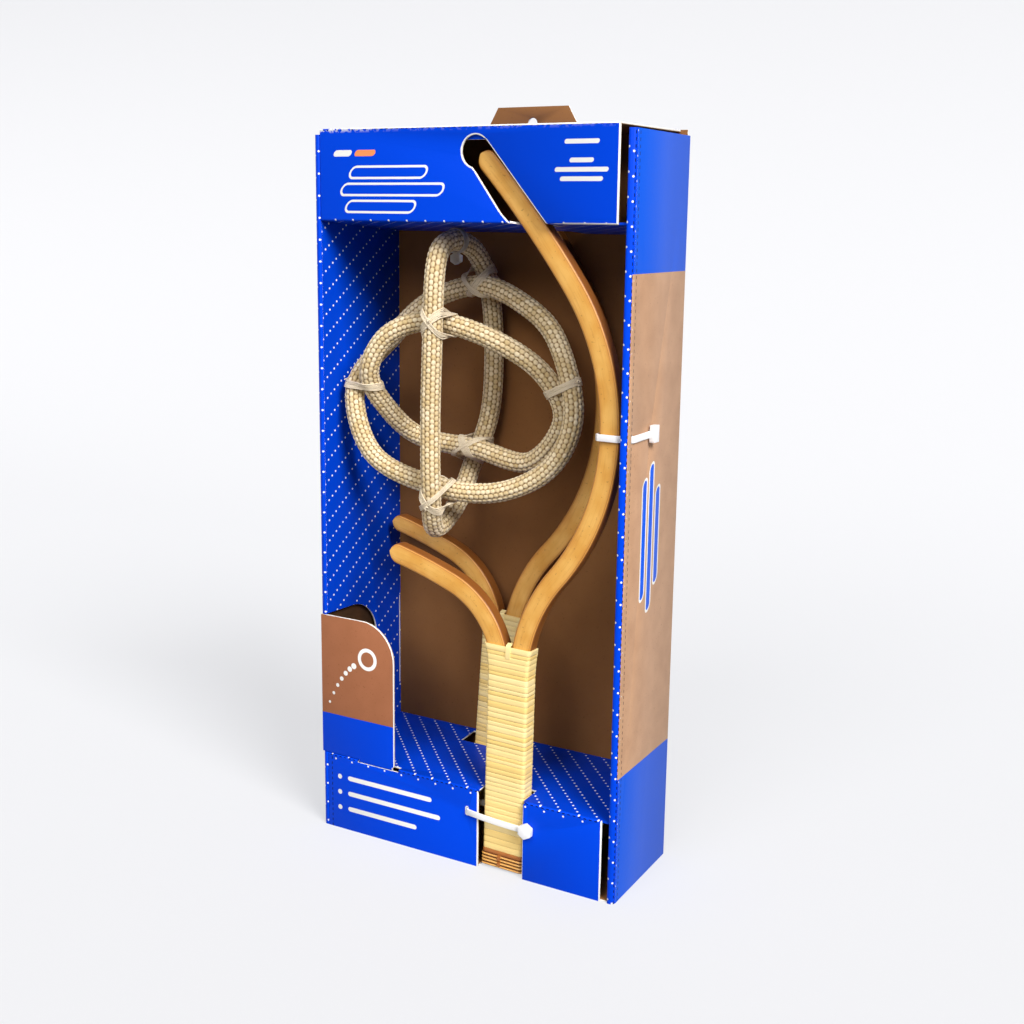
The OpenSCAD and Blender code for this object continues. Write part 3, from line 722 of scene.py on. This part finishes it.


# Steamed and oiled rattan cane: orange honey with fine long pores, each face darker orange towards its edges
# as painted shade, a thin dark line where each face turns over the edge, and sides painted dark brown as
# shade, with a soft waxed sheen.
steamed_cane, tree, shader = new_material("steamed rattan cane, waxed")
place = add_node(tree, "TexCoord", output="Object")
run = add_node(tree, "UVMap", uv_map="run")
flank, edge = (add_node(tree, "Attribute", output="Fac", attribute_name=name) for name in ("flank", "edge"))
pore_run = add_node(tree, "Mapping", {"Vector": run, "Scale": (CANE_GIRTH / PORE_WIDTH, 0.035, 1)})
pores = add_node(tree, "TexNoise", {"Vector": pore_run, "Scale": 1.0, "Detail": 5.0, "Roughness": 0.6})
cloud_run = add_node(tree, "Mapping", {"Vector": run, "Scale": (7, 0.05, 1)})
cloud = add_node(tree, "TexNoise", {"Vector": cloud_run, "Scale": 1.0, "Detail": 2.0})
specks = add_node(tree, "TexNoise", {"Vector": place, "Scale": 520.0, "Detail": 1.0})
turn_from = add_node(tree, "MapRange", (flank, 0.02, 0.1))
turn_to = add_node(tree, "MapRange", (flank, 0.4, 0.22, 0.0, 0.55))
honey = layered(tree, "#D99D45", (
    ((cloud, 0.35, 0.65), "#E6B15C"),
    ((pores, 0.52, 0.78, 0.0, 0.5), "#B87430"),
    # Painted shade: each face turns darker orange towards its edges.
    ((edge, 0.45, 0.85, 0.0, 0.55), "#C67F31"),
    (add_node(tree, "Math MULTIPLY", (turn_from, turn_to)), "#7A4216"),
    # Painted shade: the sides of each cane are dark brown.
    ((flank, 0.5, 0.9, 0.0, 0.9), "#7A4219"),
    ((specks, 0.68, 0.75, 0.0, 0.45), "#8A531F")))
grain = add_node(tree, "Bump", {"Height": pores, "Strength": 0.2, "Distance": 0.0003})
fill(shader, {"Base Color": honey, "Roughness": 0.42, "IOR": 1.45, "Normal": grain})

cane("front", "long_arm", LONG_BENDS, CANE_SIDE)
cane("front", "short_arm", SHORT_BENDS, -CANE_SIDE)
cane("rear", "long_arm", LONG_BENDS, CANE_SIDE)
cane("rear", "short_arm", REAR_SHORT_BENDS, -CANE_SIDE, 0.12)


# Grip wraps: flat strips of rattan peel wound tightly round both canes from the binding to the fork, broad at
# the bottom and narrower above, each turn a little different in colour. A short strip in front locks the top.
WRAP_LOW = 13.6
WRAP_HIGH = 175.0
WRAP_ROOM = 1.0
WRAP_CORNER = 1.9
STRIP_THICK = 1.1
STRIP_CROWN = 0.3
STRIP_BROAD = 3.7
FOOT_BROADER = 2.8
FOOT_HEIGHT = 45.0
CLIMB_SHARE = 0.36
LOCK_ACROSS = 0.4
LOCK_LINE = ((-3.5, 177.2), (-6.6, 176.0), (-7.2, 174.4), (-7.2, 167.2), (-6.9, 166.0))


def bow(height, bends):
    """How far a cane has bowed away from the grip at a height."""
    rise = max(0.0, height - bends[0][0])
    return bends[1][0] - math.sqrt(bends[1][0] ** 2 - rise ** 2)


def wound_strip(name, which, edges, room, strip_t, crown, seed):
    """A strip wound round the grip. Each turn lies between two neighbouring heights in edges and steps up to
    the next pair behind the grip; its tint and its place across the strip are stored for each point."""
    draw = random.Random(seed)
    half = (CANE_SIDE + CANE_WIDTH / 2 + room, CANE_THICK / 2 + room)
    loop = stepped(rounded_outline(half[0], half[1], WRAP_CORNER + room - WRAP_ROOM, 4))
    steps = len(loop)
    turns = len(edges) - 2
    heights = edges + edges[-1:]
    profile = [(-strip_t / 2, -1.0)]
    for across in (-1, -0.9, -0.6, 0, 0.6, 0.9, 1):
        profile.append((strip_t / 2 - crown * (1 - math.sqrt(1 - across * across)), across))
    profile.append((-strip_t / 2, 1.0))
    tints = [draw.random() for _ in range(turns + 2)]
    seams = [draw.uniform(0.86, 1.06) for _ in range(turns + 2)]
    sections, tint, rim, uvs = [], [], [], []
    for i in range(turns * steps + 1):
        turn_number, k = divmod(i, steps)
        point, out = loop[k]
        share = min(1.0, k / steps / CLIMB_SHARE)
        low, high, last = heights[turn_number:turn_number + 3]
        bottom = low + (high - low) * share
        top = high + (last - high) * share
        side = 1 if point.x > 0 else -1
        bends = LONG_BENDS if side > 0 else SHORT_BENDS
        section = []
        for reach, across in profile:
            height = (bottom + top) / 2 + across * max(0.02, (top - bottom) / 2 - 0.04)
            spot = point + out * reach
            spread = side * bow(height, bends) * abs(point.x) / half[0]
            section.append(thrower_place(which, (spot.x + spread, spot.y, height)))
            tint.append(tints[turn_number])
            rim.append(abs(across) * seams[turn_number])
            uvs.append((across / 10.0 + turn_number, k * 3.1))
        sections.append(section)
    piece = swept_mesh(name, sections, uvs=uvs, layers={"tint": tint, "rim": rim})
    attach(piece, f"{which}_thrower")
    return piece


def stitch(name, which, across, line, half_w, half_t):
    """A flat strip laid down the front of the grip along a line of depths and heights."""
    sections, tint, rim, uvs = [], [], [], []
    points = [Vector((across, y, z)) for y, z in line]
    corners = ((-half_w, -half_t), (half_w, -half_t), (half_w, half_t), (-half_w, half_t))
    for i, point in enumerate(points):
        run = points[min(i + 1, len(points) - 1)] - points[max(i - 1, 0)]
        out = run.normalized().cross(Vector((1, 0, 0)))
        sections.append([thrower_place(which, point + Vector((a, 0, 0)) + out * b) for a, b in corners])
        tint += [0.9] * 4
        rim += [0.5] * 4
        uvs += [(a / 10.0, point.z) for a, b in corners]
    piece = swept_mesh(name, sections, uvs=uvs, layers={"tint": tint, "rim": rim})
    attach(piece, f"{which}_thrower")
    return piece


# Rattan peel: pale golden straw with a glossy skin and fine lines along the strip, darker where turns meet.
rattan_peel, tree, shader = new_material("rattan peel, natural")
run = add_node(tree, "UVMap", uv_map="run")
tint, rim = (add_node(tree, "Attribute", output="Fac", attribute_name=name) for name in ("tint", "rim"))
line_run = add_node(tree, "Mapping", {"Vector": run, "Scale": (26, 0.02, 1)})
lines = add_node(tree, "TexNoise", {"Vector": line_run, "Scale": 1.0, "Detail": 3.0})
mark_run = add_node(tree, "Mapping", {"Vector": run, "Scale": (3, 0.11, 1)})
marks = add_node(tree, "TexNoise", {"Vector": mark_run, "Scale": 1.0})
straw = layered(tree, "#F2CE7C", (
    (tint, "#FAE2A2"),
    ((lines, 0.5, 0.8, 0.0, 0.5), "#DDB765"),
    ((rim, 0.93, 1.0, 0.0, 0.9), "#85581F"),
    ((marks, 0.72, 0.78, 0.0, 0.5), "#B08A45")))
fine = add_node(tree, "Bump", {"Height": lines, "Strength": 0.2, "Distance": 0.0003})
fill(shader, {"Base Color": straw, "Roughness": 0.4, "IOR": 1.4, "Normal": fine})

for number, which in enumerate(THROWERS):
    draw = random.Random(31 + number)
    wrap_edges = [WRAP_LOW, WRAP_LOW + 0.1]
    while wrap_edges[-1] < WRAP_HIGH - 3.5:
        near_foot = max(0.0, 1 - (wrap_edges[-1] - WRAP_LOW) / FOOT_HEIGHT)
        broad = STRIP_BROAD + FOOT_BROADER * near_foot
        wrap_edges.append(wrap_edges[-1] + broad * draw.uniform(0.75, 1.3))
    fit = (WRAP_HIGH - WRAP_LOW) / (wrap_edges[-1] - WRAP_LOW)
    wrap_edges = [WRAP_LOW + (edge - WRAP_LOW) * fit for edge in wrap_edges]
    wrap = wound_strip(f"{which}_wrap", which, wrap_edges, WRAP_ROOM, STRIP_THICK, STRIP_CROWN, 41 + number)
    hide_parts(f"{which}_grip_wrap")
    lock = stitch(f"{which}_wrap_lock", which, LOCK_ACROSS, LOCK_LINE, 2.0, 0.3)
    for piece in (wrap, lock):
        piece.data.materials.append(rattan_peel)


# Butt bindings: four round turns of split cane at the foot, dark in the grooves, and a flat stained band
# above them. A dark stitch holds the turns together in front.
BAND_LOW = 10.6
BAND_ROOM = 1.3
BAND_THICK = 1.2
ROD_ROOM = 1.6
ROD_THICK = 2.2
ROD_CROWN = 0.9 * ROD_THICK
ROD_EDGES = [0.05, 0.15, 2.8, 5.4, 8.0, BAND_LOW]
HOLD_ACROSS = -2.0
HOLD_HEIGHTS = ((1.8, 5.2), (6.2, 10.4))

# Split cane: golden and blotchy, darker towards the grooves between the turns.
split_rods, tree, shader = new_material("split cane, darker in the grooves")
place = add_node(tree, "TexCoord", output="Object")
rim = add_node(tree, "Attribute", output="Fac", attribute_name="rim")
blotch = add_node(tree, "TexNoise", {"Vector": place, "Scale": 180.0, "Detail": 3.0})
skin = layered(tree, "#C9893A", ((blotch, "#E4B062"), ((rim, 0.4, 0.85), "#57260D")))
fill(shader, {"Base Color": skin, "Roughness": 0.4})

# Stained rattan peel: red brown and blotchy.
dark_peel, tree, shader = new_material("rattan peel, stained red brown")
place = add_node(tree, "TexCoord", output="Object")
blotch = add_node(tree, "TexNoise", {"Vector": place, "Scale": 240.0, "Detail": 3.0})
stain = layered(tree, "#8A4A1C", ((blotch, "#B5702F"),))
fill(shader, {"Base Color": stain, "Roughness": 0.45})

for number, which in enumerate(THROWERS):
    rods = wound_strip(f"{which}_binding", which, ROD_EDGES, ROD_ROOM, ROD_THICK, ROD_CROWN, 51 + number)
    rods.data.materials.append(split_rods)
    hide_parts(f"{which}_butt_binding")
    band = wound_strip(f"{which}_binding_band", which, [BAND_LOW, BAND_LOW + 0.1, WRAP_LOW], BAND_ROOM,
                       BAND_THICK, STRIP_CROWN, 61 + number)
    stitches = []
    for part, (low, high) in enumerate(HOLD_HEIGHTS):
        line = ((-6.5, high), (-8.4, high - 0.7), (-8.4, low + 0.7), (-6.5, low))
        stitches.append(stitch(f"{which}_binding_stitch_{part}", which, HOLD_ACROSS, line, 1.3, 0.3))
    for piece in [band] + stitches:
        piece.data.materials.append(dark_peel)


# Ball: three rings of thick soft rope, each closed on itself. The rope has a knitted cover of plump stitches
# in straight columns, neighbouring columns half a stitch apart, cream on their crests, with the gaps between
# them darkened to olive brown as painted shade.
ROPE_CORE = 6.65
STITCH_RISE = 1.0
STITCH_COLUMNS = 12
STITCH_LENGTH = 3.9
STITCH_HALF = 0.58
ACROSS_STITCH = 7
ALONG_STITCH = 7
RINGS = {
    "upright_ring": (Vector((1, 0, 0)), (
        (-34, -4, 465.4), (-34.5, -23, 460.5), (-33, -34, 441), (-33, -37, 395), (-34, -38, 336),
        (-34, -37, 283), (-43, -18, 251), (-41, 9, 265), (-38.5, 28, 295), (-27, 34.5, 336), (-24, 34, 390),
        (-28, 32, 433), (-32, 18.5, 457.5))),
    "inner_ring": (Vector((0, 1, 0)), (
        (-43, -21, 407), (6, -14, 395), (38, 2, 371), (48.5, 13.5, 337), (20, 15.5, 303), (-28, 14.5, 309),
        (-77, 10, 315), (-92.6, -14, 341), (-93.6, -32, 368), (-77, -30, 396))),
    "middle_ring": (Vector((0, 1, 0)), (
        (-45, -20, 284), (8, -14, 283), (48, -4, 304), (64, 1, 345), (42, 12, 397), (9, 14.5, 422.5),
        (-27, 15.5, 432.5), (-67, 11, 419.5), (-94.5, 1, 392.5), (-111, -26, 354), (-93, -29, 305))),
}


def closed_line(route, steps):
    """A smooth closed line through the points of a route."""
    points = [Vector(point) for point in route]
    count = len(points)
    line = []
    for i in range(count):
        a, b, c, d = (points[(i + k) % count] for k in (-1, 0, 1, 2))
        for k in range(steps):
            t = k / steps
            line.append(0.5 * (2 * b + (c - a) * t + (2 * a - 5 * b + 4 * c - d) * t ** 2
                               + (3 * b - a - 3 * c + d) * t ** 3))
    return line


def even_line(line, count):
    """The same closed line with its points evenly spaced, and its length."""
    lengths = [0.0]
    for a, b in zip(line, line[1:] + line[:1]):
        lengths.append(lengths[-1] + (b - a).length)
    total = lengths[-1]
    made, j = [], 0
    for i in range(count):
        goal = total * i / count
        while lengths[j + 1] < goal:
            j += 1
        share = (goal - lengths[j]) / (lengths[j + 1] - lengths[j])
        made.append(line[j].lerp(line[(j + 1) % len(line)], share))
    return made, total


# Cotton and jute rope cover: matt yarn, each stitch its own shade of colour, a fine fuzz of fibres, and the
# gaps between stitches darkened as painted shade.
rope_yarn, tree, shader = new_material("knitted jute and cotton yarn")
place = add_node(tree, "TexCoord", output="Object")
crest, shade = (add_node(tree, "Attribute", output="Fac", attribute_name=name)
                for name in ("crest", "shade"))
fuzz = add_node(tree, "TexNoise", {"Vector": place, "Scale": 1400.0, "Detail": 4.0})
yarn = layered(tree, "#D3B885", ((shade, "#F4E2BE"), ((fuzz, 0.45, 0.75, 0.0, 0.35), "#B7A26C")))
# Painted shade: the gaps between stitches darken to olive brown.
cover = layered(tree, "#80602F", (((crest, 0.2, 0.85), yarn),))
fibres = add_node(tree, "Bump", {"Height": fuzz, "Strength": 0.5, "Distance": 0.0004})
fill(shader, {"Base Color": cover, "Roughness": 0.9, "Sheen Weight": 0.25, "Normal": fibres})

ring_lines = {}
for number, (ring, (reference, route)) in enumerate(RINGS.items()):
    draw = random.Random(61 + number)
    rough = closed_line(route, 40)
    total = even_line(rough, 10)[1]
    stitches = round(total / STITCH_LENGTH)
    rows = stitches * ALONG_STITCH
    line, total = even_line(rough, rows)
    ring_lines[ring] = line
    shades = [[draw.random() for _ in range(stitches + 1)] for _ in range(STITCH_COLUMNS)]
    around = STITCH_COLUMNS * ACROSS_STITCH
    sections, crest, shade = [], [], []
    for i, point in enumerate(line):
        direction = (line[(i + 1) % rows] - line[i - 1]).normalized()
        first = direction.cross(reference).normalized()
        second = first.cross(direction)
        section = []
        for j in range(around):
            column, inside = divmod(j, ACROSS_STITCH)
            across = inside / ACROSS_STITCH - 0.5
            place, along = divmod(i / ALONG_STITCH + 0.5 * (column % 2), 1.0)
            off = (across / STITCH_HALF) ** 2 + ((along - 0.5) / STITCH_HALF) ** 2
            dome = max(0.0, 1 - off) ** 0.5
            turn = 2 * math.pi * j / around
            reach = ROPE_CORE + STITCH_RISE * dome
            section.append((point + (math.cos(turn) * first + math.sin(turn) * second) * reach) * MM)
            crest.append(dome)
            shade.append(shades[column][int(place) % stitches])
        sections.append(section)
    rope = swept_mesh(ring + "_rope", sections, closed=True, layers={"crest": crest, "shade": shade})
    rope.data.materials.append(rope_yarn)
    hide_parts(ring)
    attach(rope, "ball")


# Lashings: where two rings cross, several turns of thin pale twine bind them together, some round each way,
# finished with a small knot.
TWINE = 1.05
TURN_STEPS = 28
TURN_PITCH = 0.95
FIRST_REACH = 8.0
SECOND_REACH = 8.6
SECOND_FROM = 0.6
ROPE_REACH = 7.6
KNOT_ROUND = 0.9
KNOT_RISE = 0.18
BALL_MIDDLE = Vector((-28, 0, 355))
LASHINGS = {
    "lashing_front_upper": ("upright_ring", "inner_ring", 1, -1),
    "lashing_front_lower": ("upright_ring", "middle_ring", 1, -1),
    "lashing_back_upper": ("upright_ring", "middle_ring", 1, 1),
    "lashing_back_lower": ("upright_ring", "inner_ring", 1, 1),
    "lashing_left": ("inner_ring", "middle_ring", 0, -1),
    "lashing_right": ("inner_ring", "middle_ring", 0, 1),
}


def tube(name, points, radius, sides=8):
    """A round cord along a line of points in millimetres."""
    sections, uvs, run = [], [], 0.0
    up = Vector((0.3, 0.5, 0.8))
    turns = [2 * math.pi * j / sides for j in range(sides)]
    for i, point in enumerate(points):
        after = points[min(i + 1, len(points) - 1)]
        ahead = (after - points[max(i - 1, 0)]).normalized()
        up = (up - ahead * up.dot(ahead)).normalized()
        second = ahead.cross(up)
        sections.append([(point + radius * (math.cos(turn) * up + math.sin(turn) * second)) * MM
                         for turn in turns])
        uvs += [(j / sides, run) for j in range(sides)]
        run += (after - point).length
    return swept_mesh(name, sections, uvs=uvs)


def bound_turns(ropes, along, reach, turns, wobble):
    """Turns of twine drawn tight round two crossing ropes, each rope given as a place and a direction. A turn
    lies in a plane across the crossing, so it goes straight from rope to rope and round over each."""
    made = []
    for i in range(turns * TURN_STEPS + 1):
        turn = 2 * math.pi * (i + 0.5) / TURN_STEPS
        step = TURN_PITCH * (i / TURN_STEPS - turns / 2) + 0.15 * math.sin(turn * 2.3 + wobble)
        near, far = (place + run * (step / run.dot(along)) for place, run in ropes)
        up = (far - near).normalized()
        centre, run = (far, ropes[1][1]) if math.cos(turn) > 0 else (near, ropes[0][1])
        across = along.cross(up) * (math.sin(turn) * reach / abs(run.dot(along)))
        made.append(centre + up * (reach * math.cos(turn)) + across)
    return made


# Waxed cotton twine: cream, with the lay of its strands as slanting light and shade.
twine_cotton, tree, shader = new_material("waxed cotton twine")
run = add_node(tree, "UVMap", uv_map="run")
slanted = add_node(tree, "Mapping", {"Vector": run, "Scale": (1.0, 0.9, 1), "Rotation": (0, 0, 0.6)})
lay = add_node(tree, "TexWave", {"Vector": slanted, "Scale": 1.2, "Distortion": 1.0}, "Fac")
cream = layered(tree, "#D6C09A", ((lay, "#F2E6D0"),))
twist = add_node(tree, "Bump", {"Height": lay, "Strength": 0.4, "Distance": 0.0003})
fill(shader, {"Base Color": cream, "Roughness": 0.75, "Normal": twist})

for number, (lashing, (ring_a, ring_b, axis, side)) in enumerate(LASHINGS.items()):
    line_a, line_b = ring_lines[ring_a], ring_lines[ring_b]
    gap, i, j = min(((line_a[i] - line_b[j]).length, i, j)
                    for i in range(0, len(line_a), 3)
                    if side * (line_a[i][axis] - BALL_MIDDLE[axis]) > 0
                    for j in range(0, len(line_b), 3))
    run_a = (line_a[(i + 3) % len(line_a)] - line_a[i - 3]).normalized()
    run_b = (line_b[(j + 3) % len(line_b)] - line_b[j - 3]).normalized()
    if run_a.dot(run_b) < 0:
        run_b = -run_b
    high = (line_b[j] - line_a[i]).normalized()
    along = run_a + run_b
    along = (along - high * along.dot(high)).normalized()
    wide = along.cross(high)
    middle = (line_a[i] + line_b[j]) / 2
    crossing = math.acos(min(1.0, run_a.dot(run_b))) / 2
    ropes = ((line_a[i], run_a), (line_b[j], run_b))
    strands = [bound_turns(ropes, along, FIRST_REACH, 6, number)]
    if crossing > SECOND_FROM:
        strands.append(bound_turns(ropes, wide, SECOND_REACH, 4, number + 2))
    outward = high * math.copysign(1, high.dot(middle - BALL_MIDDLE))
    knot = middle + outward * (gap / 2 + ROPE_REACH + TWINE / 2) + wide * 2
    strands.append([knot + KNOT_ROUND * (along * math.cos(k / 2) + wide * math.sin(k / 2))
                    + outward * (KNOT_RISE * k) for k in range(16)])
    pieces = [tube(f"{lashing}_twine_{part}", strand, TWINE / 2) for part, strand in enumerate(strands)]
    bpy.ops.object.select_all(action="DESELECT")
    for piece in pieces:
        piece.select_set(True)
    bpy.context.view_layer.objects.active = pieces[0]
    bpy.ops.object.join()
    twine = bpy.context.active_object
    twine.name = lashing + "_twine"
    twine.data.materials.append(twine_cotton)
    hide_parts(lashing)
    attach(twine, "ball")


# Cable ties: moulded nylon straps. One holds the front grip to the base, one the front arm to the right wall,
# one hangs the ball from the header. They are cut where they pass the board.
TIE_BODIES = {
    "front_tie": "front_thrower",
    "front_tie_back": "carton",
    "side_tie_loop": "front_thrower",
    "side_tie_outer": "carton",
    "ball_tie": "ball",
}

# Natural nylon: milky white, light passing a little way in, with a faint ripple from the mould.
nylon, tree, shader = new_material("natural nylon, moulded")
place = add_node(tree, "TexCoord", output="Object")
ripple = add_node(tree, "TexNoise", {"Vector": place, "Scale": 300.0})
mould = add_node(tree, "Bump", {"Height": ripple, "Strength": 0.08, "Distance": 0.0003})
fill(shader, {"Base Color": "#F1F1F3", "Roughness": 0.32, "IOR": 1.53, "Normal": mould,
              "Subsurface Weight": 0.35, "Subsurface Radius": (0.003, 0.003, 0.003), "Subsurface Scale": 1.0})

# Clear nylon: half see-through, for the tie that hangs the ball.
clear_nylon, tree, shader = new_material("clear nylon, moulded")
fill(shader, {"Base Color": "#D8D4CE", "Roughness": 0.35, "IOR": 1.3, "Transmission Weight": 0.75})

for tie, body in TIE_BODIES.items():
    piece = merged_copy(tie, "_nylon")
    ease_edges(piece, width=0.35, segments=3, angle=40)
    piece.data.materials.append(clear_nylon if tie == "ball_tie" else nylon)
    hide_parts(tie)
    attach(piece, body)
